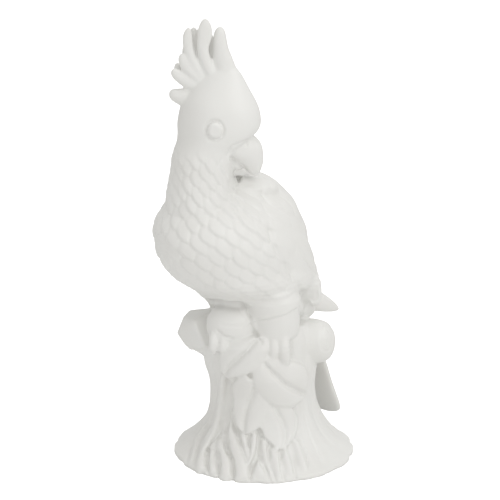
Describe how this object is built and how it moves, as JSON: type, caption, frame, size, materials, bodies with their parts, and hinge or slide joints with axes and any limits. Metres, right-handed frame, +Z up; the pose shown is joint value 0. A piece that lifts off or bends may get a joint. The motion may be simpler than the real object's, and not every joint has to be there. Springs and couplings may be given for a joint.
{
  "type": "parrot figurine",
  "caption": "Hollow white porcelain figurine of a crested parrot perched on a leafy tree stump, looking back over its shoulder.",
  "frame": {"origin": "on the ground, at the middle of the figure's bounding box seen from above", "axes": "+Z up through the stump and the bird; -Y towards the viewer; +X towards the side the beak points to"},
  "size_m": [0.1348, 0.1208, 0.3014],
  "materials": {
    "matt_porcelain": "satin matt white porcelain, unpainted"
  },
  "bodies": {
    "root": {"cockatoo": "matt_porcelain"}
  },
  "joints": []
}
